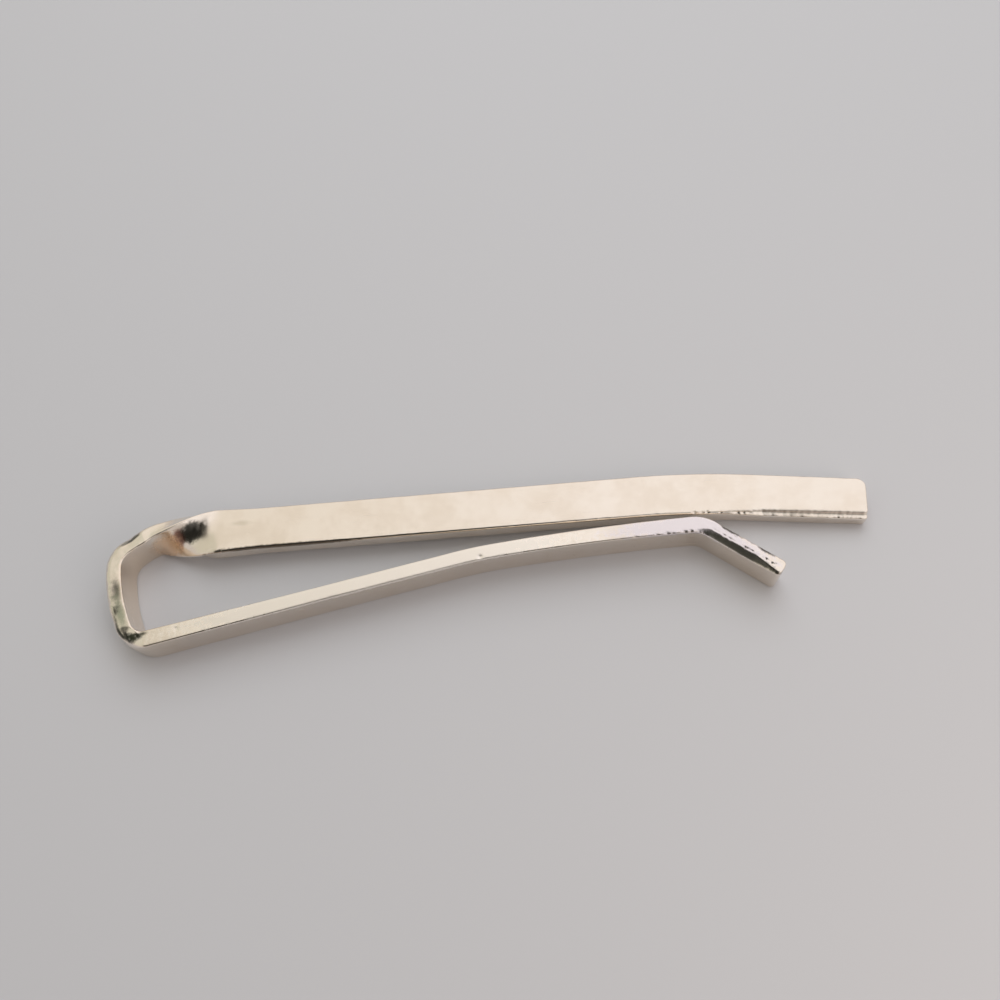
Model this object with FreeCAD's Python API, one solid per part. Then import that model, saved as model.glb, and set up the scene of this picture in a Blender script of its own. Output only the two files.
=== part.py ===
# A tie clip bent cold from one length of flat silver strip.
#
# The clip lies as it would on a table: +Z is up, +X runs along the straight
# front bar from the closed bow to its free tip, and +Y points from the back
# arm to the front bar. The origin is at the bottom centre of the whole clip.
# All sizes are in millimetres and all angles in degrees.
#
# The strip is one piece of metal. It is built as its natural stretches, which
# meet face to face: front_bar, quarter_twist, upper_bow, lower_bow, back_arm
# and lead_in_tip. Each stretch starts at the pose (place and heading) where
# the one before it ends, so a change of one size carries on round the clip.

import math
import os

import FreeCAD, Part

# ---- the strip --------------------------------------------------------------
edge_width = 3.20           # wide face of the strip where it stands on edge
bar_width = 3.50            # wide face of the front bar, spread a little flatter
root_width = 3.75           # front bar where it leaves the twist, its edges bulging
bar_thickness = 1.50        # front bar
bow_thickness = 1.32        # bow, from the twist round to the root of the back arm
arm_thickness = 1.14        # back arm, hammered thinner so that it springs
jaw_thickness = 1.28        # at the pinch and along the flared end
edge_radius = 0.15          # softened long edges

# ---- front bar: lies flat, wide face up ----------------------------------------
root_run = 3.4              # over which the bulging root settles to the bar's width
bar_straight = 33.8         # from the twist to where the bar starts to curve
camber_radius = 69.0        # gentle sideways curve near the free end
camber_angle = 7.5          # turned towards the back arm
bar_end_run = 8.90          # last straight run of the bar
far_corner_radius = 0.75    # rounded corner of the tip, on the far side
near_corner_radius = 0.25   # corner of the tip on the side of the back arm
bar_bevel_width = 0.60      # filed edge at the tip, measured across the wide face
bar_bevel_depth = 0.28      # the same filed edge, measured down the narrow face

# ---- quarter twist: from strip laid flat to strip on edge ------------------------
twist_run = 4.30            # straight part of the twist
twist_angle = 90.0
twist_neck = 0.40           # width lost half way, where the twist stretches the edges
twist_sections = 11         # sections of the loft
shoulder_radius = 3.10      # easy bend that ends the twist
shoulder_angle = 22.4

# ---- bow: the closed end, strip on edge ------------------------------------------
slope_radius = 6.40         # bowed slope from the twist to the upper corner
slope_angle = 15.6
upper_corner_radius = 2.00
upper_corner_angle = 56.5
web_radius = 14.3           # the closed end itself is slightly rounded
web_angle = 20.2
lower_corner_radius = 1.75
lower_corner_angle = 75.45

# ---- back arm: strip on edge, closing slowly on the front bar ----------------------
arm_taper_run = 13.42       # straight, thinning from the root
arm_even_run = 10.75        # straight, of even thickness
arm_bend_radius = 38.0      # plain bend back towards the front bar's line
arm_bend_angle = 5.3
jaw_sweep_radius = 195.0    # long slow curve up to the pinch
jaw_sweep_angle = 4.4

# ---- flared lead-in tip --------------------------------------------------------------
flare_bend_radius = 2.3
flare_bend_angle = 38.3
flare_run = 6.05
flare_corner_radius = 0.25  # eased corners of the cut end
flare_bevel_width = 0.50    # filed edge at the end, measured across the narrow face
flare_bevel_depth = 0.50    # the same filed edge, measured down the wide face


def direction(heading):
    """Unit vector in the plane of the table."""
    angle = math.radians(heading)
    return FreeCAD.Vector(math.cos(angle), math.sin(angle), 0)


def left_of(heading):
    """Unit vector to the left of a heading."""
    return direction(heading + 90)


def run(length, end_thickness):
    """A straight stretch of the strip's centre line."""
    return {"length": length, "turn": 0, "thickness": end_thickness}


def bend(radius, turn, end_thickness):
    """An arc of the centre line; a positive turn goes to the left."""
    length = radius * math.radians(abs(turn))
    return {"length": length, "turn": turn, "thickness": end_thickness}


def advance(pose, stretch, share=1.0):
    """Pose after following a stretch, or the first share of it."""
    place, heading = pose
    length = stretch["length"] * share
    half_turn = stretch["turn"] * share / 2
    if half_turn:
        length *= math.sin(math.radians(half_turn)) / math.radians(half_turn)
    return place + direction(heading + half_turn) * length, heading + 2 * half_turn


def follow(pose, stretches):
    """Pose after a list of stretches."""
    for stretch in stretches:
        pose = advance(pose, stretch)
    return pose


def side_edge(stations, side, turn):
    """One side of a stretch: a line, or the arc through its three stations."""
    points = [place + left_of(heading) * (side * size / 2)
              for (place, heading), size in stations]
    if turn:
        return Part.Arc(*points).toShape()
    return Part.makeLine(points[0], points[-1])


def cap_edge(pose, size):
    """The cut across a strip of that size."""
    place, heading = pose
    reach = left_of(heading) * (size / 2)
    return Part.makeLine(place + reach, place - reach)


def ribbon(pose, size, stretches, height):
    """Solid strip of a given size across, run along its stretches."""
    edges = [cap_edge(pose, size)]
    for stretch in stretches:
        end_size = stretch["thickness"]
        stations = [(pose, size),
                    (advance(pose, stretch, 0.5), (size + end_size) / 2),
                    (advance(pose, stretch), end_size)]
        for side in (1, -1):
            edges.append(side_edge(stations, side, stretch["turn"]))
        pose, size = stations[-1]
    edges.append(cap_edge(pose, size))
    outline = Part.Wire(Part.__sortEdges__(edges))
    return Part.Face(outline).extrude(FreeCAD.Vector(0, 0, height))


def lies_in_cap(edge, pose):
    """True for an edge in the flat cut where two stretches meet."""
    place, heading = pose
    cut_reach = bar_width + edge_width
    for vertex in edge.Vertexes:
        offset = vertex.Point - place
        if abs(offset.dot(direction(heading))) > 1e-4 or offset.Length > cut_reach:
            return False
    return True


def is_level(edge):
    """True for an edge of the ribbon's top or bottom outline."""
    return abs(edge.Vertexes[0].Point.z - edge.Vertexes[-1].Point.z) < 1e-4


def soften(solid, meeting_caps):
    """Round the top and bottom outlines, leaving the cuts that meet a neighbour."""
    edges = [edge for edge in solid.Edges
             if is_level(edge) and not any(lies_in_cap(edge, pose) for pose in meeting_caps)]
    return solid.makeFillet(edge_radius, edges)


def round_corner(solid, pose, size, side, radius):
    """Round one upright corner of a free end."""
    place, heading = pose
    corner = place + left_of(heading) * (side * size / 2)
    edges = []
    for edge in solid.Edges:
        foot = edge.CenterOfMass - corner
        if not is_level(edge) and math.hypot(foot.x, foot.y) < 1e-4:
            edges.append(edge)
    return solid.makeFillet(radius, edges)


def edge_bevel(start_pose, end_pose, size, top, width, depth):
    """Cutter for a filed edge on the right-hand side, widening to the free end."""
    (start, heading), (end, _) = start_pose, end_pose
    inward = left_of(heading)
    up = FreeCAD.Vector(0, 0, 1)
    rounded = edge_radius * (2 - math.sqrt(2))
    profiles = []
    for place, across, down in ((start, rounded, rounded), (end, width, depth)):
        rim = place - inward * (size / 2) + up * top
        outside = rim + (up - inward) * max(width, depth)
        corners = [rim + inward * across, outside, rim - up * down]
        profiles.append(Part.makePolygon(corners + corners[:1]))
    return Part.makeLoft(profiles, True, True)


def strip_section(place, rotation, width, thickness):
    """Rounded section of the strip: width along local X, thickness along local Y."""
    half_w, half_t, r = width / 2, thickness / 2, edge_radius
    edges = []
    for turn in (0, 90, 180, 270):
        reach, side = (half_w, half_t) if turn % 180 == 0 else (half_t, half_w)
        centre = FreeCAD.Vector(reach - r, side - r, 0)
        arc = Part.Arc(centre + direction(0) * r, centre + direction(45) * r,
                       centre + direction(90) * r).toShape()
        line = Part.makeLine(centre + direction(90) * r,
                             FreeCAD.Vector(r - reach, side, 0))
        for edge in (arc, line):
            edge.rotate(FreeCAD.Vector(), FreeCAD.Vector(0, 0, 1), turn)
            edges.append(edge)
    wire = Part.Wire(Part.__sortEdges__(edges))
    wire.Placement = FreeCAD.Placement(place, rotation)
    return wire


# ---- route of the centre line, as two chains that start where the bar is rooted -----
mid_height = FreeCAD.Vector(0, 0, edge_width / 2)
bar_root = (FreeCAD.Vector(), 0)
twist_root = (FreeCAD.Vector(), 180)

bar_route = [run(root_run, bar_width),
             run(bar_straight - root_run, bar_width),
             bend(camber_radius, -camber_angle, bar_width),
             run(bar_end_run, bar_width)]
twist_route = [run(twist_run, bow_thickness),
               bend(shoulder_radius, shoulder_angle, bow_thickness)]
upper_bow_route = [bend(slope_radius, slope_angle, bow_thickness),
                   bend(upper_corner_radius, upper_corner_angle, bow_thickness),
                   bend(web_radius, web_angle / 2, bow_thickness)]
lower_bow_route = [bend(web_radius, web_angle / 2, bow_thickness),
                   bend(lower_corner_radius, lower_corner_angle, bow_thickness)]
back_arm_route = [run(arm_taper_run, arm_thickness),
                  run(arm_even_run, arm_thickness),
                  bend(arm_bend_radius, -arm_bend_angle, arm_thickness),
                  bend(jaw_sweep_radius, -jaw_sweep_angle, jaw_thickness)]
lead_in_route = [bend(flare_bend_radius, -flare_bend_angle, jaw_thickness),
                 run(flare_run, jaw_thickness)]

bar_tip = follow(bar_root, bar_route)
bow_root = follow(twist_root, twist_route)
web_middle = follow(bow_root, upper_bow_route)
arm_root = follow(web_middle, lower_bow_route)
jaw_end = follow(arm_root, back_arm_route)
flare_tip = follow(jaw_end, lead_in_route)


def bar_droop(reach):
    """Slope at which the underside of the bar's tip comes down to the table."""
    rise = edge_width / 2 - edge_radius
    depth = bar_thickness / 2 - edge_radius
    length = reach - edge_radius
    return math.degrees(math.asin(rise / math.hypot(length, depth))
                        - math.atan2(depth, length))


def make_level_bar():
    """Front bar before it is sloped: flat ribbon with its two tip corners."""
    bar = ribbon(bar_root, root_width, bar_route, bar_thickness)
    bar = round_corner(bar, bar_tip, bar_width, 1, far_corner_radius)
    bar = round_corner(bar, bar_tip, bar_width, -1, near_corner_radius)
    bar = soften(bar, [bar_root])
    bevel_start = follow(bar_root, bar_route[:-1])
    bar = bar.cut(edge_bevel(bevel_start, bar_tip, bar_width, bar_thickness,
                             bar_bevel_width, bar_bevel_depth))
    bar.translate(mid_height - FreeCAD.Vector(0, 0, bar_thickness / 2))
    return bar


def make_front_bar(level_bar, droop):
    """Front bar, sloping down from the twist to rest on the table at its tip."""
    bar = level_bar.copy()
    bar.rotate(mid_height, FreeCAD.Vector(0, 1, 0), droop)
    return bar


def pose_along(route, pose, share):
    """Pose at a share of a whole route's length."""
    left = share * sum(stretch["length"] for stretch in route)
    for stretch in route:
        if left <= stretch["length"]:
            return advance(pose, stretch, left / stretch["length"])
        left -= stretch["length"]
        pose = advance(pose, stretch)
    return pose


def make_quarter_twist(droop):
    """Strip turned about its own centre line, from flat to on edge."""
    flat = FreeCAD.Rotation(FreeCAD.Vector(0, 1, 0), FreeCAD.Vector(0, 0, 1),
                            FreeCAD.Vector(1, 0, 0), "XYZ")
    sections = []
    for step in range(twist_sections):
        share = step / (twist_sections - 1)
        eased = share * share * (3 - 2 * share)
        place, heading = pose_along(twist_route, twist_root, share)
        turn = FreeCAD.Rotation(FreeCAD.Vector(1, 0, 0), twist_angle * eased)
        slope = FreeCAD.Rotation(FreeCAD.Vector(0, 1, 0), droop * (1 - share))
        swing = FreeCAD.Rotation(FreeCAD.Vector(0, 0, 1), heading - twist_root[1])
        width = root_width + (edge_width - root_width) * eased
        width -= twist_neck * 4 * share * (1 - share)
        thickness = bar_thickness + (bow_thickness - bar_thickness) * share
        sections.append(strip_section(place + mid_height, swing * slope * turn * flat,
                                      width, thickness))
    return Part.makeLoft(sections, True, False)


def make_upper_bow():
    """Slope, upper corner and the upper half of the closed end."""
    bow = ribbon(bow_root, bow_thickness, upper_bow_route, edge_width)
    return soften(bow, [bow_root, web_middle])


def make_lower_bow():
    """Lower half of the closed end and the tight corner into the back arm."""
    bow = ribbon(web_middle, bow_thickness, lower_bow_route, edge_width)
    return soften(bow, [web_middle, arm_root])


def make_back_arm():
    """Spring arm on edge, straight and then curved up to the pinch."""
    arm = ribbon(arm_root, bow_thickness, back_arm_route, edge_width)
    return soften(arm, [arm_root, jaw_end])


def make_lead_in_tip():
    """Flared end of the back arm that guides the tie into the clip."""
    tip = ribbon(jaw_end, jaw_thickness, lead_in_route, edge_width)
    for side in (1, -1):
        tip = round_corner(tip, flare_tip, jaw_thickness, side, flare_corner_radius)
    tip = soften(tip, [jaw_end])
    bevel_start = follow(jaw_end, lead_in_route[:-1])
    return tip.cut(edge_bevel(bevel_start, flare_tip, jaw_thickness, edge_width,
                              flare_bevel_width, flare_bevel_depth))


def report_places(shift):
    """Print the places that mounts, openings and the moving joint are set from."""
    web_place, web_heading = web_middle
    pivot = web_place - left_of(web_heading) * (bow_thickness / 2) + shift
    print("spring pivot x, y:", round(pivot.x, 4), round(pivot.y, 4))
    for name, (place, heading) in (("bar root", bar_root), ("bow root", bow_root),
                                   ("arm root", arm_root), ("jaw end", jaw_end),
                                   ("flare tip", flare_tip), ("bar tip", bar_tip)):
        spot = place + shift
        print(name, round(spot.x, 4), round(spot.y, 4), "heading", round(heading, 2))


def main():
    level_bar = make_level_bar()
    droop = bar_droop(level_bar.optimalBoundingBox(False, False).XMax)
    nodes = {
        "front_bar": make_front_bar(level_bar, droop),
        "quarter_twist": make_quarter_twist(droop),
        "upper_bow": make_upper_bow(),
        "lower_bow": make_lower_bow(),
        "back_arm": make_back_arm(),
        "lead_in_tip": make_lead_in_tip(),
    }
    box = Part.makeCompound(list(nodes.values())).optimalBoundingBox(False, False)
    shift = FreeCAD.Vector(-box.Center.x, -box.Center.y, -box.ZMin)
    os.makedirs("parts", exist_ok=True)
    for name, shape in nodes.items():
        shape.translate(shift)
        shape.exportStep(os.path.join("parts", name + ".step"))
        print(name, "solids", len(shape.Solids), "valid", shape.isValid(),
              "volume", round(shape.Volume, 3))
    print("droop", round(droop, 3), "lowest point", round(box.ZMin, 4), "size",
          round(box.XLength, 3), round(box.YLength, 3), round(box.ZLength, 3))
    report_places(shift)


main()
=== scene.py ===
# Tie clip bent cold from one length of flat silver strip, lying on a pale table.
# The strip is modelled straight, as a worn blank, and then bent along its centre line.
# Sizes in the dictionaries are millimetres and degrees; mm turns them into metres.
import math
import random

import bmesh
import bpy
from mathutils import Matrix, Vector
from mathutils.kdtree import KDTree


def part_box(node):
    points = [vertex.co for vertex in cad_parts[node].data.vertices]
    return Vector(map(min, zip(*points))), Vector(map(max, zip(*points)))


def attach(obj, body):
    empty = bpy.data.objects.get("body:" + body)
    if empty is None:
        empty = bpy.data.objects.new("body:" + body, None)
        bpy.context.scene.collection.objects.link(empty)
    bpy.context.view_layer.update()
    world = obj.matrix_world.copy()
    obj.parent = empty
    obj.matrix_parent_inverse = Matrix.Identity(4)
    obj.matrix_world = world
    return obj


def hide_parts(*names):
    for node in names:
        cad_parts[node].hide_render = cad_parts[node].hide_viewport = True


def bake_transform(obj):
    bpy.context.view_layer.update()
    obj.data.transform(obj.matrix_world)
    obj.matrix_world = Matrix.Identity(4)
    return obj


mm = 0.001
sameSpot = 1e-3             # places that differ by less than this, in mm, are one place

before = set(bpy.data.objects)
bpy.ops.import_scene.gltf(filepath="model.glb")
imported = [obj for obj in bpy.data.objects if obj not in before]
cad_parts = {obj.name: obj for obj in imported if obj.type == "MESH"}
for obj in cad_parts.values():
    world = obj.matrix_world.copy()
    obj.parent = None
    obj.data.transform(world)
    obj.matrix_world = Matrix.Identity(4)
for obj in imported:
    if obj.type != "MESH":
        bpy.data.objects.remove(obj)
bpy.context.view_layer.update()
bpy.ops.object.select_all(action="DESELECT")
print("frame loaded", sorted(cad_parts))


# the strip and its route, from the bar's free tip round to the flared tip
strip = {
    "edgeWidth": 3.20,      # wide face where the strip stands on edge
    "barWidth": 3.50,
    "rootWidth": 3.75,      # bar where it leaves the twist
    "rootRun": 3.4,
    "barThick": 1.50,
    "bowThick": 1.32,
    "armThick": 1.14,
    "jawThick": 1.28,
    "twistNeck": 0.40,      # width lost half way along the twist
    "barDroop": 0.944,      # slope of the bar down to its tip
    "twistAngle": 90.0,
    "twistEasing": 0.25,    # 0 turns evenly, 1 starts and ends softly
    "twistBlend": 0.35,     # softens the twist's two ends
    "pathStep": 0.1,        # spacing of the points of its centre line
}

route = {                   # name: (length or radius, turn); a turn of 0 is a straight run
    "barEnd": (8.90, 0),
    "camber": (69.0, 7.5),
    "barRun": (33.8, 0),
    "twistRun": (4.30, 0),
    "shoulder": (3.10, 22.4),
    "slope": (6.40, 15.6),
    "upperCorner": (2.00, 56.5),
    "web": (14.3, 20.2),
    "lowerCorner": (1.75, 75.45),
    "armTaper": (13.42, 0),
    "armEven": (10.75, 0),
    "armBend": (38.0, -5.3),
    "jawSweep": (195.0, -4.4),
    "flareBend": (2.3, -38.3),
    "flareRun": (6.05, 0),
}


def stretchLength(name):
    size, turn = route[name]
    return size * math.radians(abs(turn)) if turn else size


def stretchEnds():
    ends, along = {}, 0
    for name in route:
        along += stretchLength(name)
        ends[name] = along
    return ends


at = stretchEnds()          # how far along the strip each stretch ends
stripLength = at["flareRun"]


def mixed(first, second, share):
    return first + (second - first) * min(max(share, 0), 1)


def eased(share):
    return share * share * (3 - 2 * share)


def twistShare(along):
    # 0 at the bar's root and 1 at the end of the shoulder
    return mixed(0, 1, (along - at["barRun"]) / (at["shoulder"] - at["barRun"]))


def turned(along):
    # the twist starts quickly at the bar's root and eases out at the bow
    near = [twistShare(along + step * strip["twistBlend"]) for step in (-1, -0.5, 0, 0.5, 1)]
    return sum(mixed(share, eased(share), strip["twistEasing"]) for share in near) / len(near)


def centreLine():
    # points (along, x, y) of the centre line, placed so that the bar's root is the frame's
    x, y, heading, along = 0, 0, 180 - route["camber"][1], 0
    points = [(along, x, y)]
    for name, (_, turn) in route.items():
        length = stretchLength(name)
        count = max(2, round(length / strip["pathStep"]))
        for _ in range(count):
            heading += turn / count / 2
            x += length / count * math.cos(math.radians(heading))
            y += length / count * math.sin(math.radians(heading))
            heading += turn / count / 2
            along += length / count
            points.append((along, x, y))
        if name == "barRun":
            rootX, rootY = x, y
    _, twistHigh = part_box("quarter_twist")
    tilt = math.sin(math.radians(strip["barDroop"])) * strip["barThick"] / 2
    moveX = twistHigh.x / mm - tilt - rootX
    moveY = twistHigh.y / mm - strip["rootWidth"] / 2 - rootY
    return [(along, x + moveX, y + moveY) for along, x, y in points]


def makePath():
    # a poly curve along the centre line, drooping towards the bar's tip; its tilt is the twist
    line = centreLine()
    rootX = next(x for along, x, y in line if along >= at["barRun"] - sameSpot)
    curve = bpy.data.curves.new("stripPath", "CURVE")
    curve.dimensions = "3D"
    curve.twist_mode = "Z_UP"
    spline = curve.splines.new("POLY")
    spline.points.add(len(line) - 1)
    droop = math.radians(strip["barDroop"])
    for point, (along, x, y) in zip(spline.points, line):
        reach = max(x - rootX, 0) if along < at["barRun"] else 0
        height = strip["edgeWidth"] / 2 - reach * math.sin(droop)
        point.co = ((x - reach * (1 - math.cos(droop))) * mm, y * mm, height * mm, 1)
        point.tilt = -math.radians(strip["twistAngle"]) * turned(along)
    path = bpy.data.objects.new("stripPath", curve)
    bpy.context.scene.collection.objects.link(path)
    return path


# the blank: X along the strip, Y across its wide face, Z through its thickness
# on the bar +Y is the side of the back arm and +Z is up
# on the bow and the arm -Y is the upper edge and +Z faces into the loop
blank = {
    "ringStep": 0.12,       # spacing of the rings along the strip
    "fineStep": 0.08,       # and where it is filed, worn or bent sharply
    "faceCuts": (17, 1.0),  # points added across the wide faces, and the shortest such face
    "sideCuts": (7, 0.3),   # and the same for the narrow ones
    "cornerSegments": 5,
    "filedSegments": 9,     # the near upper corner, which is filed at the bar's tip
    "flareSegments": 7,     # the outer upper corner, which is filed on the flare
    "barRim": 0.20,         # softened long edges
    "bowRim": 0.13,
    "bowOuterRim": 0.44,    # the bow's upper outer edge is worn round
    "armRim": 0.12,
    "wornRun": 1.3,         # the worn edge fades over the end of the sharp corner
    "tipFarCorner": 0.75,
    "tipNearCorner": 0.25,
    "flareCorner": 0.40,
    "endRim": 0.15,
    "flareSlope": (0.56, 0.26),     # width and depth of the flare's filed edge
    "flareSlopeRun": 1.6,   # over which it grows to its full size
    "flareTaper": (2.2, 0.25),      # and how far from the end it narrows, and to what share
    "twistSections": 10,
    "roundings": [0, 0.012, 0.045, 0.10, 0.15, 0.25, 0.40, 0.57, 0.75],  # sections near an end
}

ledge = [                   # filed near edge: (along, slope width, slope depth, ledge width, side in)
    (0.75, 0.25, 0.24, 0.28, 0.09),
    (4.00, 0.24, 0.23, 0.27, 0.06),
    (8.10, 0.20, 0.18, 0.25, 0.02),
    (9.00, 0.12, 0.09, 0.22, 0.01),
    (10.60, 0.05, 0.05, 0.20, 0.00),
]
ledgeEnd = 13.0             # beyond this the edge is plainly rounded


def cornerInset(radius, depth):
    return radius - math.sqrt(radius ** 2 - (radius - depth) ** 2) if depth < radius else 0


def widthAt(along):
    rootStart = at["barRun"] - strip["rootRun"]
    if along <= at["barRun"]:
        return mixed(strip["barWidth"], strip["rootWidth"], (along - rootStart) / strip["rootRun"])
    share = twistShare(along)
    width = mixed(strip["rootWidth"], strip["edgeWidth"], eased(share))
    return width - strip["twistNeck"] * 4 * share * (1 - share)


def thickAt(along):
    if along <= at["lowerCorner"]:
        return mixed(strip["barThick"], strip["bowThick"], twistShare(along))
    if along <= at["armBend"]:
        share = (along - at["lowerCorner"]) / stretchLength("armTaper")
        return mixed(strip["bowThick"], strip["armThick"], share)
    share = (along - at["armBend"]) / stretchLength("jawSweep")
    return mixed(strip["armThick"], strip["jawThick"], share)


def rimAt(along, side, face):
    bowRim = blank["bowOuterRim"] if (side, face) == (-1, -1) else blank["bowRim"]
    wornEnd = at["lowerCorner"]
    if along <= wornEnd - blank["wornRun"]:
        return mixed(blank["barRim"], bowRim, twistShare(along))
    return mixed(blank["armRim"], bowRim, (wornEnd - along) / blank["wornRun"])


def sectionPlaces():
    # where the blank has a section: close together only where its shape changes
    places = blank["roundings"] + [row[0] for row in ledge[1:]] + [ledgeEnd]
    places += [at["barRun"] - strip["rootRun"], at["barRun"]]
    twistLength, count = at["shoulder"] - at["barRun"], blank["twistSections"]
    places += [at["barRun"] + twistLength * part / count for part in range(1, count + 1)]
    places += [at["lowerCorner"] - blank["wornRun"], at["lowerCorner"]]
    places += [at["armTaper"], at["armBend"], at["jawSweep"]]
    places += [at["jawSweep"] + blank["flareSlopeRun"], stripLength - blank["flareTaper"][0]]
    places += [stripLength - depth for depth in reversed(blank["roundings"])
               if depth <= blank["flareCorner"]]
    return places


def selectVerts(mesh, test):
    # selects the vertices whose place, in millimetres, passes the test
    bpy.ops.mesh.select_mode(type="VERT")
    bpy.ops.mesh.select_all(action="DESELECT")
    grid = bmesh.from_edit_mesh(mesh)
    for vert in grid.verts:
        if test(vert.co.x / mm, vert.co.y / mm, vert.co.z / mm):
            vert.select_set(True)
    grid.select_flush(True)
    bmesh.update_edit_mesh(mesh)


def filedEdge(along):
    # the table's row at this place, blended from the two that it lies between
    if along <= ledge[0][0]:
        return ledge[0][1:]
    for row, later in zip(ledge, ledge[1:]):
        if along <= later[0]:
            share = (along - row[0]) / (later[0] - row[0])
            return [mixed(first, second, share) for first, second in zip(row, later)][1:]
    return ledge[-1][1:]


def filedOutline(along):
    # a slope down from the wide face with a narrow ledge under it, from the wide face outwards
    slope, depth, flat, _ = filedEdge(along)
    return [(slope + flat, 0), (slope * 0.9 + flat, depth * 0.05), (slope / 2 + flat, depth / 2),
            (flat + 0.03, depth - 0.02), (flat - 0.02, depth), (flat * 0.6, depth + 0.01),
            (0.09, depth + 0.02), (0.04, depth + 0.04), (0.01, depth + 0.08), (0, depth + 0.15)]


def flareOutline():
    # from the outer wide face, over the slope, to the narrow upper edge
    slope, depth = blank["flareSlope"]
    return [(depth + 0.10, 0), (depth + 0.04, 0.01), (depth, 0.03), (depth * 0.88, slope * 0.12),
            (depth * 0.58, slope * 0.4), (depth * 0.25, slope * 0.7), (depth * 0.02, slope * 0.95),
            (0, slope)]


def roundOutline(rim, segments):
    angles = [math.radians(90) * part / segments for part in range(segments + 1)]
    return [(rim * (1 - math.sin(angle)), rim * (1 - math.cos(angle))) for angle in angles]


def filedCorners(along):
    # (segments, outline, how far it is filed) of the corners that aren't plainly round
    lastRow = ledge[-1][0]
    taperRun, least = blank["flareTaper"]
    flareShare = min((along - at["jawSweep"]) / blank["flareSlopeRun"],
                     mixed(least, 1, (stripLength - along) / taperRun))
    return {
        (1, 1): (blank["filedSegments"], filedOutline(along), (ledgeEnd - along) / (ledgeEnd - lastRow)),
        (-1, -1): (blank["flareSegments"], flareOutline(), flareShare),
    }


def addSection(mesh, along):
    # a plane across the strip, drawn in near the free ends, with its four corners rounded or filed
    fromTip, fromFlare = along, stripLength - along
    low, high, thick = -widthAt(along) / 2, widthAt(along) / 2, thickAt(along) / 2
    high -= filedEdge(along)[3]
    low += cornerInset(blank["tipFarCorner"], fromTip)
    high -= cornerInset(blank["tipNearCorner"], fromTip)
    thick -= cornerInset(blank["endRim"], fromTip)
    low += cornerInset(blank["endRim"], fromFlare)
    high -= cornerInset(blank["endRim"], fromFlare)
    thick -= cornerInset(blank["flareCorner"], fromFlare)
    centre = (along * mm, (low + high) / 2 * mm, 0)
    bpy.ops.mesh.select_mode(type="VERT")
    bpy.ops.mesh.select_all(action="DESELECT")
    bpy.ops.mesh.primitive_plane_add(size=1, location=centre, rotation=(0, math.pi / 2, 0))
    bpy.ops.transform.resize(value=(1, (high - low) * mm, 2 * thick * mm), center_override=centre)
    filed = filedCorners(along)
    for side, face in ((-1, -1), (-1, 1), (1, -1), (1, 1)):
        edge = low if side < 0 else high

        def isCorner(x, y, z):
            return max(abs(x - along), abs(y - edge), abs(z - face * thick)) < sameSpot

        selectVerts(mesh, isCorner)
        rim = rimAt(along, side, face)
        segments, outline, share = filed.get((side, face), (blank["cornerSegments"], [], 0))
        bpy.ops.mesh.bevel(offset=rim * mm, segments=segments, affect="VERTICES")
        if share > 0:
            shape = []
            for (across, down), (filedAcross, filedDown) in zip(roundOutline(rim, segments), outline):
                shape.append((mixed(across, filedAcross, share), mixed(down, filedDown, share)))
            fileCorner(mesh, along, (edge, thick), (side, face), rim, shape)


def fileCorner(mesh, along, corner, signs, rim, shape):
    # moves the points of one rounded corner of a section onto a filed outline
    edge, thick = corner
    side, face = signs
    inward = []
    for vert in bmesh.from_edit_mesh(mesh).verts:
        across, down = side * (edge - vert.co.y / mm), thick - face * vert.co.z / mm
        if abs(vert.co.x / mm - along) < sameSpot and max(across, down) < rim + sameSpot:
            inward.append((down - across, vert.index))
    for (_, index), (across, down) in zip(sorted(inward), shape):
        bpy.ops.mesh.select_all(action="DESELECT")
        grid = bmesh.from_edit_mesh(mesh)
        grid.verts.ensure_lookup_table()
        grid.verts[index].select_set(True)
        target = Vector((along, edge - side * across, face * (thick - down))) * mm
        bpy.ops.transform.translate(value=target - grid.verts[index].co)


def subdivideSides(mesh):
    # adds points to the straight sides of every section, before they are bridged
    for axis, (cuts, shortest) in ((1, blank["faceCuts"]), (2, blank["sideCuts"])):
        bpy.ops.mesh.select_mode(type="EDGE")
        bpy.ops.mesh.select_all(action="DESELECT")
        grid = bmesh.from_edit_mesh(mesh)
        for edge in grid.edges:
            reach = edge.verts[1].co - edge.verts[0].co
            edge.select_set(abs(reach[axis]) > shortest * mm)
        bmesh.update_edit_mesh(mesh)
        bpy.ops.mesh.subdivide(number_cuts=cuts)


def bridgeSections(mesh, places):
    for start, end in zip(places, places[1:]):
        bpy.ops.mesh.select_mode(type="EDGE")
        bpy.ops.mesh.select_all(action="DESELECT")
        grid = bmesh.from_edit_mesh(mesh)
        for edge in grid.edges:
            first, second = [vert.co.x / mm for vert in edge.verts]
            inSection = abs(first - second) < sameSpot
            edge.select_set(inSection and min(abs(first - start), abs(first - end)) < sameSpot)
        bmesh.update_edit_mesh(mesh)
        bent = at["barRun"] <= start < at["lowerCorner"] or start >= at["jawSweep"]
        step = blank["fineStep"] if bent or end <= ledgeEnd else blank["ringStep"]
        cuts = max(0, round((end - start) / step) - 1)
        bpy.ops.mesh.bridge_edge_loops(number_cuts=cuts, interpolation="LINEAR")


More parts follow.
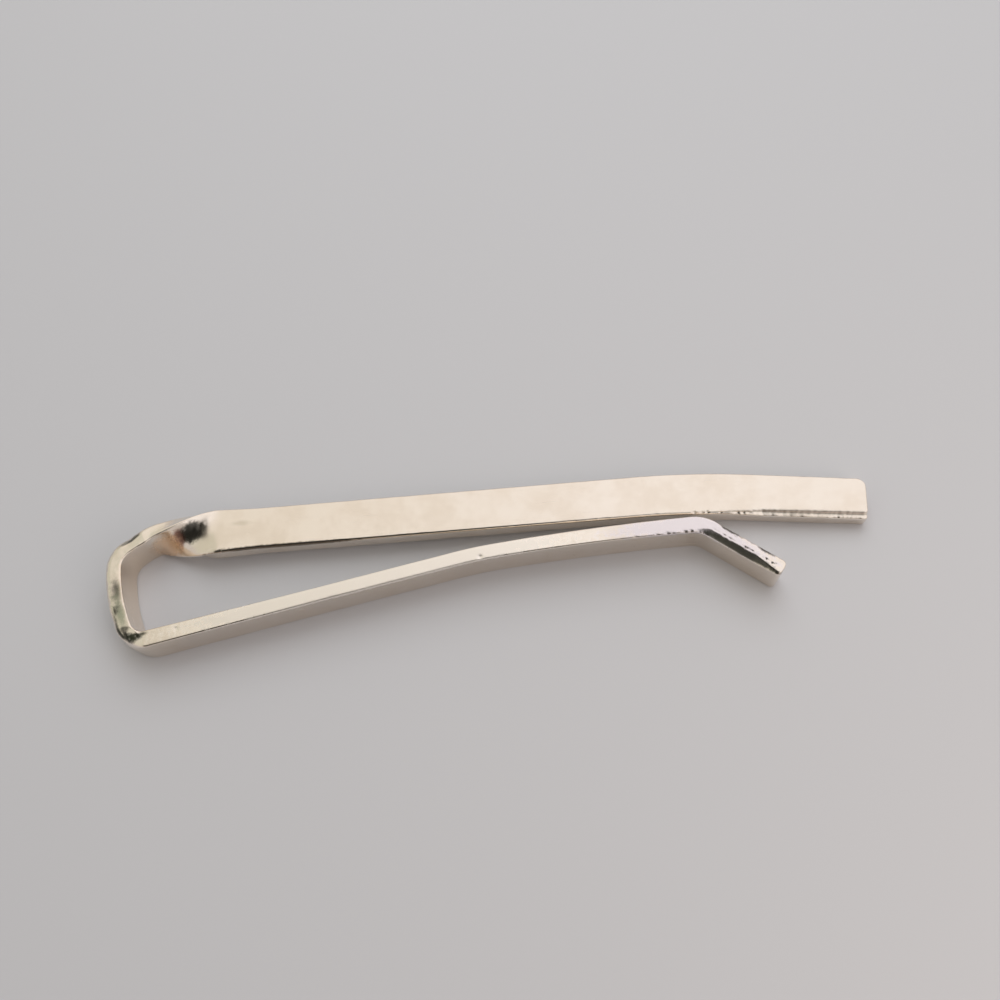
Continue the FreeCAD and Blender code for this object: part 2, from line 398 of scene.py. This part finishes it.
def makeBlank():
    bpy.ops.mesh.primitive_plane_add(size=mm)
    blankObject = bpy.context.object
    blankObject.name = "stripBlank"
    mesh = blankObject.data
    bpy.ops.object.mode_set(mode="EDIT")
    bpy.ops.mesh.delete(type="VERT")
    places = sectionPlaces()
    for along in places:
        addSection(mesh, along)
    bpy.ops.mesh.select_all(action="SELECT")
    bpy.ops.mesh.delete(type="ONLY_FACE")
    subdivideSides(mesh)
    bridgeSections(mesh, places)
    for end in (0, stripLength):
        selectVerts(mesh, lambda x, y, z: abs(x - end) < sameSpot)
        bpy.ops.mesh.edge_face_add()
    bpy.ops.mesh.select_all(action="SELECT")
    bpy.ops.mesh.normals_make_consistent(inside=False)
    bpy.ops.object.mode_set(mode="OBJECT")
    return blankObject


def rememberPlaces(mesh):
    # keeps each point's place on the straight blank, for patterns that follow the strip
    places = mesh.attributes.new("stripPlace", "FLOAT_VECTOR", "POINT")
    flat = [0.0] * (len(mesh.vertices) * 3)
    mesh.vertices.foreach_get("co", flat)
    places.data.foreach_set("vector", [value / mm for value in flat])


stripBlank = makeBlank()
rememberPlaces(stripBlank.data)
print("blank modelled", len(stripBlank.data.vertices), "points")


# wear, pressed into the straight blank
dents = [                   # (along, across, through, push across, push through, reach)
    (58.30, -1.60, -0.66, 0.16, 0.05, 1.10),    # outer rim where the slope meets the corner
    (58.40, -1.60, -0.40, 0.07, 0.00, 0.45),
    (62.80, -1.60, 0.22, 0.05, 0.00, 0.60),     # hollows along the web's upper edge
    (64.60, -1.60, 0.05, 0.06, 0.00, 0.90),
    (65.20, -1.60, -0.66, 0.12, 0.03, 1.00),
    (66.90, -1.60, -0.66, 0.30, 0.12, 1.30),    # outer side of the sharp corner
    (67.20, -1.60, 0.52, -0.04, 0.00, 0.60),    # and the metal raised on its inner side
    (67.90, -1.60, 0.30, 0.05, 0.00, 0.45),
    (70.70, -1.60, 0.10, 0.03, 0.00, 0.25),     # nicks in the arm's upper edge
    (94.60, -1.60, -0.38, 0.07, 0.03, 0.22),
    (51.20, 1.75, 0.70, -0.04, -0.03, 0.22),    # and in the near edge of the bar's root
    (53.20, -0.50, 0.75, 0.00, 0.030, 0.24),    # nicks where the twist begins
    (52.92, -0.62, 0.75, 0.00, -0.030, 0.22),
    (52.62, -0.75, 0.75, 0.00, 0.024, 0.24),
    (53.60, 0.30, 0.75, 0.00, -0.020, 0.34),
    (53.90, -0.95, 0.75, 0.00, -0.020, 0.30),
    (47.60, -0.45, 0.75, 0.00, -0.02, 0.30),    # small dents in the bar's upper face
    (15.15, -0.79, 0.75, 0.00, -0.02, 0.20),
]

wearSeed = 11
chipSizes = (0.5, 0.75, 1.0)    # a third of a row's chips have each share of its depth and reach

chips = [                   # (from, to, across, through, length, how many, depth, reach)
    (0.3, 11.0, 1.62, 0.50, 1.20, 18, 0.026, 0.17),     # filed edge of the bar
    (8.5, 13.5, 1.62, 0.70, 0.20, 30, 0.035, 0.14),     # and where the filing runs out
    (14.0, 51.0, 1.72, 0.74, 0.60, 21, 0.015, 0.22),    # near and far edges of the bar
    (0.6, 51.0, -1.72, 0.74, 0.60, 24, 0.010, 0.22),
    (58.0, 66.8, -1.58, -0.60, 0.30, 12, 0.035, 0.25),  # outer and inner rims of the bow
    (60.0, 69.0, -1.58, 0.62, 0.30, 9, 0.020, 0.22),
    (72.0, 106.0, -1.58, -0.55, 0.50, 15, 0.006, 0.20),     # outer rim of the arm and the jaw
    (106.5, 112.6, -1.58, -0.60, 0.20, 12, 0.045, 0.18),
    (112.3, 117.9, -1.58, -0.04, 0.20, 36, 0.034, 0.13),    # upper edge of the flare
    (112.8, 118.2, -1.60, 0.30, 0.10, 9, 0.022, 0.12),
    (112.5, 118.3, -1.56, 0.60, 0.20, 12, 0.055, 0.20),
]

pits = [                    # (from, to, across, spread, through, how many, depth, reach)
    (99.5, 110.5, 0.30, 0.55, -0.60, 16, 0.045, 0.16),  # outer side of the arm
    (73.0, 99.0, 0.10, 1.10, -0.58, 10, 0.015, 0.18),
    (3.0, 50.0, 0.00, 1.50, 0.75, 12, 0.008, 0.22),     # upper face of the bar
]

grain = [                   # (name, size of the grain, height, where it is)
    ("waviness", 3.2, 0.022, lambda x, y, z: 1),
    ("filedGrain", 0.28, 0.015, lambda x, y, z: mixed(1, 0, (x - 9) / 4) * (y > 1.05) * (z > 0.15)),
    ("flareGrain", 0.30, 0.022, lambda x, y, z: mixed(0, 1, (x - at["jawSweep"]) / 0.8) * (y < -1.5)),
    ("endGrain", 0.30, 0.05, lambda x, y, z: mixed(0, 1, (x - stripLength + 0.35) / 0.3)),
    ("cornerGrain", 0.45, 0.022, lambda x, y, z: (57.6 < x < 68.8) * (y < -1.2)),
]


def pressIn(mesh, indices, push, reach):
    # moves a few points, and what is near them less and less
    bpy.ops.mesh.select_all(action="DESELECT")
    grid = bmesh.from_edit_mesh(mesh)
    grid.verts.ensure_lookup_table()
    for index in indices:
        grid.verts[index].select_set(True)
    grid.select_flush(True)
    bpy.ops.transform.translate(value=Vector(push) * mm, use_proportional_edit=True,
                                proportional_edit_falloff="SMOOTH", proportional_size=reach * mm)


def wearBlank(mesh):
    random.seed(wearSeed)
    nearest = KDTree(len(mesh.vertices))
    for vert in mesh.vertices:
        nearest.insert(vert.co / mm, vert.index)
    nearest.balance()
    bpy.ops.object.mode_set(mode="EDIT")
    bpy.ops.mesh.select_mode(type="VERT")
    for along, across, through, pushAcross, pushThrough, reach in dents:
        pressIn(mesh, [nearest.find((along, across, through))[1]], (0, pushAcross, pushThrough), reach)
    stride = blank["fineStep"]
    for start, end, across, through, length, count, depth, reach in chips:
        for size in chipSizes:
            points = set()
            for _ in range(count // len(chipSizes)):
                place = random.uniform(start, end)
                steps = round(random.random() * length / stride)
                for step in range(steps + 1):
                    points.add(nearest.find((place + step * stride, across, through))[1])
            push = Vector((0, -across, -through)).normalized() * depth * size
            pressIn(mesh, points, push, reach * size)
    for start, end, across, spread, through, count, depth, reach in pits:
        points = set()
        for _ in range(count):
            place = random.uniform(start, end)
            side = across + random.uniform(-spread, spread)
            points.add(nearest.find((place, side, through))[1])
        pressIn(mesh, points, (0, 0, -depth if through > 0 else depth), reach)
    bpy.ops.object.mode_set(mode="OBJECT")


def selectOnly(thing):
    bpy.ops.object.select_all(action="DESELECT")
    thing.select_set(True)
    bpy.context.view_layer.objects.active = thing


def roughenBlank(thing):
    selectOnly(thing)
    for name, size, height, share in grain:
        group = thing.vertex_groups.new(name=name)
        for vert in thing.data.vertices:
            weight = share(*(vert.co / mm))
            if weight > 0:
                group.add([vert.index], weight, "REPLACE")
        clouds = bpy.data.textures.new(name, "CLOUDS")
        clouds.noise_scale = size * mm
        rough = thing.modifiers.new(name, "DISPLACE")
        rough.texture = clouds
        rough.strength = height * mm
        rough.vertex_group = name
        bpy.ops.object.modifier_apply(modifier=rough.name)
    thing.vertex_groups.clear()


wearBlank(stripBlank.data)
roughenBlank(stripBlank)
print("edges worn")


# pieces: the blank is cut twice, where it is straight, and each length is bent
cutPlaces = {
    "slope": at["shoulder"] + 0.9,
    "armRoot": at["lowerCorner"] + 1.6,
}
smoothAngle = 50            # sharper edges than this stay crisp


def cutLength(name, start, end, path):
    selectOnly(stripBlank)
    bpy.ops.object.duplicate()
    piece = bpy.context.object
    piece.name = name
    piece.data.name = name
    bpy.ops.object.mode_set(mode="EDIT")
    for place, keepsHigher in ((start, True), (end, False)):
        if place is not None:
            bpy.ops.mesh.select_all(action="SELECT")
            bpy.ops.mesh.bisect(plane_co=(place * mm, 0, 0), plane_no=(1, 0, 0), use_fill=True,
                                clear_inner=keepsHigher, clear_outer=not keepsHigher, threshold=1e-7)
    bpy.ops.mesh.select_all(action="SELECT")
    bpy.ops.mesh.normals_make_consistent(inside=False)
    bpy.ops.object.mode_set(mode="OBJECT")
    bend = piece.modifiers.new("bend", "CURVE")
    bend.object = path
    bend.deform_axis = "POS_X"
    bpy.ops.object.modifier_apply(modifier=bend.name)
    bpy.ops.object.shade_smooth_by_angle(angle=math.radians(smoothAngle))
    return piece


stripPath = makePath()
frontLength = cutLength("frontLength", None, cutPlaces["slope"], stripPath)
bowLength = cutLength("bowLength", cutPlaces["slope"], cutPlaces["armRoot"], stripPath)
backLength = cutLength("backLength", cutPlaces["armRoot"], None, stripPath)
for leftOver in (stripBlank, stripPath):
    bpy.data.objects.remove(leftOver)
print("three lengths bent")


# finish
silver = {
    "pale": (0.905, 0.830, 0.745, 1),
    "warm": (0.870, 0.780, 0.680, 1),
    "polish": {"Scale": 0.42, "Detail": 5.0, "Roughness": 0.6},     # cloudy, like a rubbed surface
    "polishTint": (0.32, 0.68),     # from warm to pale over these levels of it
    "polishGloss": (0.70, 0.30),    # and from smooth to rough over these
    "roughness": (0.13, 0.25),
    "scratches": {"Scale": 1.0, "Detail": 6.0, "Roughness": 0.65},
    "scratchStretch": (0.22, 6.5, 6.5),     # along the strip they are drawn out
    "scratchLevels": (0.60, 0.72),
    "scratchRoughness": 0.10,
    "scratchDepth": 0.35,
    "ragged": {"Scale": 2.6, "Detail": 5.0, "Roughness": 0.7},      # fine relief and the uneven edges of the patches
    "raggedLevels": (0.25, 0.75),
    "raggedHeight": 0.5,
    "bumpStrength": 0.35,
    "bumpHeight": 0.010,
    "patchRoughness": 0.34,
    "patchEdge": 0.16,    # how far a patch's edge wanders, as a share of its reach
}

tarnishAndPaintedReflections = {                 # tarnish, smudges and wear, and painted reflections where marked; name: (place on the strip, reach, colour, strength, even core)
    # painted dark reflection where the slope meets the upper corner
    "cornerStreak": ((58.30, -1.55, -0.33), (1.20, 0.50, 0.25), (0.055, 0.060, 0.050, 1), 0.95, 0.45),
    "bowWorn": ((61.50, -1.50, -0.42), (4.50, 0.60, 0.42), (0.74, 0.69, 0.60, 1), 0.60, 0.30),
    # painted dark and greenish-grey reflections in the hollows along the web's upper edge
    "webDarkReflection": ((62.90, -1.55, 0.20), (1.55, 0.50, 0.66), (0.10, 0.10, 0.08, 1), 0.88, 0.05),
    "webGreyReflection": ((64.70, -1.55, 0.12), (2.20, 0.50, 0.68), (0.38, 0.40, 0.31, 1), 0.85, 0.10),
    "webRim": ((65.20, -1.45, -0.36), (1.50, 0.40, 0.20), (0.14, 0.14, 0.11, 1), 0.85, 0.10),
    # painted dark reflections along the upper edge of the sharp lower corner
    "cornerEdge": ((66.25, -1.50, -0.42), (1.10, 0.50, 0.24), (0.04, 0.045, 0.035, 1), 0.95, 0.25),
    "cornerHeel": ((66.95, -1.50, -0.20), (0.78, 0.50, 0.46), (0.03, 0.035, 0.025, 1), 0.98, 0.40),
    "cornerJoin": ((67.22, -1.50, 0.02), (0.66, 0.50, 0.40), (0.04, 0.045, 0.030, 1), 0.98, 0.45),
    "cornerTurn": ((67.55, -1.50, 0.22), (0.66, 0.50, 0.34), (0.04, 0.045, 0.030, 1), 0.98, 0.40),
    "cornerTick": ((68.05, -1.50, 0.42), (0.62, 0.50, 0.22), (0.04, 0.045, 0.030, 1), 0.92, 0.20),
    # painted reflections in the twist's concave face (the dark panel, its redder foot and the table),
    # deepening what the room itself mirrors there
    "twistDarkReflection": ((53.55, -0.45, 0.72), (1.00, 1.05, 0.30), (0.06, 0.06, 0.05, 1), 0.90, 0.55),
    "twistMaroonReflection": ((54.68, -0.22, 0.72), (0.62, 1.15, 0.30), (0.26, 0.12, 0.10, 1), 0.85, 0.45),
    "twistTanReflection": ((56.10, 0.30, 0.68), (1.90, 1.75, 0.42), (0.86, 0.62, 0.42, 1), 0.90, 0.50),
    "bowInside": ((61.50, 0.00, 0.66), (6.50, 2.40, 0.40), (0.86, 0.74, 0.60, 1), 0.70, 0.50),
    # painted sheen along the arm's upper edge, paler than the silver itself
    "armPaler": ((86.00, -1.55, 0.00), (20.0, 0.45, 1.20), (1.00, 0.94, 0.87, 1), 1.00, 0.60),
    "jawFilm": ((111.0, -1.50, 0.00), (8.80, 0.50, 1.00), (0.84, 0.79, 0.84, 1), 0.85, 0.50),
    "flareEdge": ((113.7, -1.55, 0.62), (1.20, 0.40, 0.26), (0.12, 0.11, 0.10, 1), 0.95, 0.40),
    "flareTip": ((116.8, -1.55, 0.62), (0.90, 0.40, 0.28), (0.12, 0.11, 0.10, 1), 0.95, 0.40),
    # painted dark reflection along the bar's rounded near rim
    "nearRimDarkReflection": ((46.00, 1.74, 0.68), (8.00, 0.30, 0.26), (0.12, 0.10, 0.08, 1), 0.85, 0.50),
    "flareBand": ((115.2, -1.47, -0.36), (4.20, 0.28, 0.42), (0.24, 0.23, 0.20, 1), 0.95, 0.50),
    "barSmudge": ((49.60, -0.50, 0.75), (1.10, 0.35, 0.30), (0.62, 0.56, 0.46, 1), 0.45, 0.10),
}


# short ways to the few kinds of node that the silver and the room are made of
def addNode(tree, kind, sockets, **settings):
    node = tree.nodes.new("ShaderNode" + kind)
    for name, value in settings.items():
        setattr(node, name, value)
    for name, value in sockets.items():
        if isinstance(value, bpy.types.NodeSocket):
            tree.links.new(value, node.inputs[name])
        else:
            node.inputs[name].default_value = value
    return node


def fade(tree, value, start, end, toStart=0, toEnd=1):
    # toStart before the start, toEnd past the end, smooth between them; start may be the larger
    sockets = {"Value": value, "From Min": start, "From Max": end, "To Min": toStart, "To Max": toEnd}
    return addNode(tree, "MapRange", sockets, interpolation_type="SMOOTHSTEP").outputs["Result"]


def calculate(tree, operation, *values):
    return addNode(tree, "Math", dict(enumerate(values)), operation=operation).outputs[0]


def blend(tree, share, first, second):
    # sockets 6 and 7 of a mix are its two colours, and output 2 is the blended one
    return addNode(tree, "Mix", {0: share, 6: first, 7: second}, data_type="RGBA").outputs[2]


def noise(tree, place, look):
    return addNode(tree, "TexNoise", {"Vector": place, **look}).outputs["Fac"]


def silverMaterial():
    material = bpy.data.materials.new("wornSilver")
    material.use_nodes = True
    tree = material.node_tree
    place = addNode(tree, "Attribute", {}, attribute_name="stripPlace").outputs["Vector"]
    stretch = {"Vector": place, "Scale": silver["scratchStretch"]}
    drawn = addNode(tree, "Mapping", stretch).outputs["Vector"]
    scratches = fade(tree, noise(tree, drawn, silver["scratches"]), *silver["scratchLevels"])
    polish = noise(tree, place, silver["polish"])
    ragged = noise(tree, place, silver["ragged"])

    colour = blend(tree, fade(tree, polish, *silver["polishTint"]), silver["warm"], silver["pale"])
    roughness = fade(tree, polish, *silver["polishGloss"], *silver["roughness"])
    scratched = calculate(tree, "MULTIPLY", scratches, silver["scratchRoughness"])
    roughness = calculate(tree, "ADD", roughness, scratched)
    edge = silver["patchEdge"]
    wander = fade(tree, ragged, *silver["raggedLevels"], -edge, edge)
    # tarnish and painted reflections alike are blended into the colour and dull the gloss
    for centre, reach, tint, strength, core in tarnishAndPaintedReflections.values():
        scale = [1 / size for size in reach]
        offset = [-middle / size for middle, size in zip(centre, reach)]
        local = addNode(tree, "Mapping", {"Vector": place, "Scale": scale, "Location": offset})
        distance = addNode(tree, "VectorMath", {0: local.outputs["Vector"]}, operation="LENGTH")
        uneven = calculate(tree, "ADD", distance.outputs["Value"], wander)
        share = fade(tree, uneven, 1, core, 0, strength)
        colour = blend(tree, share, colour, tint)
        dull = calculate(tree, "MULTIPLY", share, silver["patchRoughness"])
        roughness = calculate(tree, "MAXIMUM", roughness, dull)

    relief = calculate(tree, "MULTIPLY", ragged, silver["raggedHeight"])
    height = calculate(tree, "MULTIPLY_ADD", scratches, -silver["scratchDepth"], relief)
    bump = addNode(tree, "Bump", {"Height": height, "Strength": silver["bumpStrength"],
                                  "Distance": silver["bumpHeight"] * mm})
    shader = tree.nodes["Principled BSDF"]
    shader.inputs["Metallic"].default_value = 1
    tree.links.new(colour, shader.inputs["Base Color"])
    tree.links.new(roughness, shader.inputs["Roughness"])
    tree.links.new(bump.outputs["Normal"], shader.inputs["Normal"])
    return material


wornSilver = silverMaterial()
for piece in (frontLength, bowLength, backLength):
    piece.data.materials.clear()
    piece.data.materials.append(wornSilver)

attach(frontLength, "front")
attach(backLength, "back")
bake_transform(bowLength)
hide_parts("front_bar", "quarter_twist")
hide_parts("upper_bow", "lower_bow")
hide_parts("back_arm", "lead_in_tip")
print("pieces ride on their bodies")


# table, light and camera
table = {
    "radius": 1500.0,
    "sides": 96,
    "colour": (0.535, 0.535, 0.56, 1),
    "roughness": 0.6,
}

room = {                    # what the silver mirrors, by direction: X to the right, Y to the back
    "ceilingLeft": (0.68, 0.66, 0.57, 1),   # over the closed end
    "ceilingMid": (0.85, 0.80, 0.72, 1),
    "ceilingRight": (1.00, 0.96, 0.94, 1),  # over the free tips
    "wall": (0.62, 0.58, 0.55, 1),
    "dark": (0.037, 0.036, 0.030, 1),       # a dark panel over the near side
    "darkFoot": (0.30, 0.20, 0.155, 1),     # and its lower, redder end
    "leftSpan": (-0.46, -0.34),
    "rightSpan": (-0.36, 0.16),
    "wallTop": (0.20, 0.34),
    "wallRise": 0.6,        # the wall stands this much higher on the near side
    "footTop": (0.20, 0.55),
    "panelBack": (0.145, 0.065),
    "panelFoot": (0.14, 0.30),
    "panelLeft": (-0.58, -0.46),
    "panelRight": (0.34, 0.00),
}

lamps = {                   # name: (place, size, power, colour)
    "softbox": ((30.0, 130.0, 180.0), 190.0, 0.19, (0.93, 0.98, 1.00)),
    "warmFill": ((75.0, -62.0, 60.0), 60.0, 0.022, (1.00, 0.82, 0.70)),
}

photoCamera = {
    "place": (4.924, -25.190, 71.70),
    "turn": (22.731, 4.441, -3.634),
    "focal": 34.2,
    "sensor": 36.0,
    "nearest": 1.0,         # nothing nearer than this is drawn
}


def makeTable():
    bpy.ops.mesh.primitive_circle_add(vertices=table["sides"], radius=table["radius"] * mm,
                                      fill_type="NGON")
    tableTop = bpy.context.object
    tableTop.name = "tableTop"
    material = bpy.data.materials.new("paleTable")
    material.use_nodes = True
    shader = material.node_tree.nodes["Principled BSDF"]
    shader.inputs["Base Color"].default_value = table["colour"]
    shader.inputs["Roughness"].default_value = table["roughness"]
    tableTop.data.materials.append(material)


def makeRoom():
    world = bpy.data.worlds.new("softRoom")
    bpy.context.scene.world = world
    world.use_nodes = True
    tree = world.node_tree
    direction = addNode(tree, "TexCoord", {}).outputs["Generated"]
    axes = addNode(tree, "SeparateXYZ", {"Vector": direction}).outputs
    x, y, z = axes["X"], axes["Y"], axes["Z"]
    ceiling = blend(tree, fade(tree, x, *room["leftSpan"]), room["ceilingLeft"], room["ceilingMid"])
    ceiling = blend(tree, fade(tree, x, *room["rightSpan"]), ceiling, room["ceilingRight"])
    nearSide = calculate(tree, "MINIMUM", y, 0)
    height = calculate(tree, "MULTIPLY_ADD", nearSide, room["wallRise"], z)
    colour = blend(tree, fade(tree, height, *room["wallTop"]), room["wall"], ceiling)
    panel = blend(tree, fade(tree, z, *room["footTop"]), room["darkFoot"], room["dark"])
    share = fade(tree, y, *room["panelBack"])
    for axis, edge in ((x, "panelLeft"), (x, "panelRight"), (z, "panelFoot")):
        share = calculate(tree, "MULTIPLY", share, fade(tree, axis, *room[edge]))
    colour = blend(tree, share, colour, panel)
    tree.links.new(colour, tree.nodes["Background"].inputs["Color"])


def makeLamps():
    for name, (place, size, power, colour) in lamps.items():
        data = bpy.data.lights.new(name, "AREA")
        data.shape = "SQUARE"
        data.size = size * mm
        data.energy = power
        data.color = colour
        lamp = bpy.data.objects.new(name, data)
        lamp.location = Vector(place) * mm
        lamp.rotation_euler = lamp.location.to_track_quat("Z", "Y").to_euler()
        lamp.visible_glossy = False     # the silver mirrors the room alone
        bpy.context.scene.collection.objects.link(lamp)


def makeCamera():
    data = bpy.data.cameras.new("photoCamera")
    data.lens = photoCamera["focal"]
    data.sensor_width = photoCamera["sensor"]
    data.clip_start = photoCamera["nearest"] * mm
    camera = bpy.data.objects.new("photoCamera", data)
    camera.location = Vector(photoCamera["place"]) * mm
    camera.rotation_euler = [math.radians(angle) for angle in photoCamera["turn"]]
    bpy.context.scene.collection.objects.link(camera)
    bpy.context.scene.camera = camera


makeTable()
makeRoom()
makeLamps()
makeCamera()
bpy.context.scene.view_settings.view_transform = "Standard"
print("table, light and camera made")
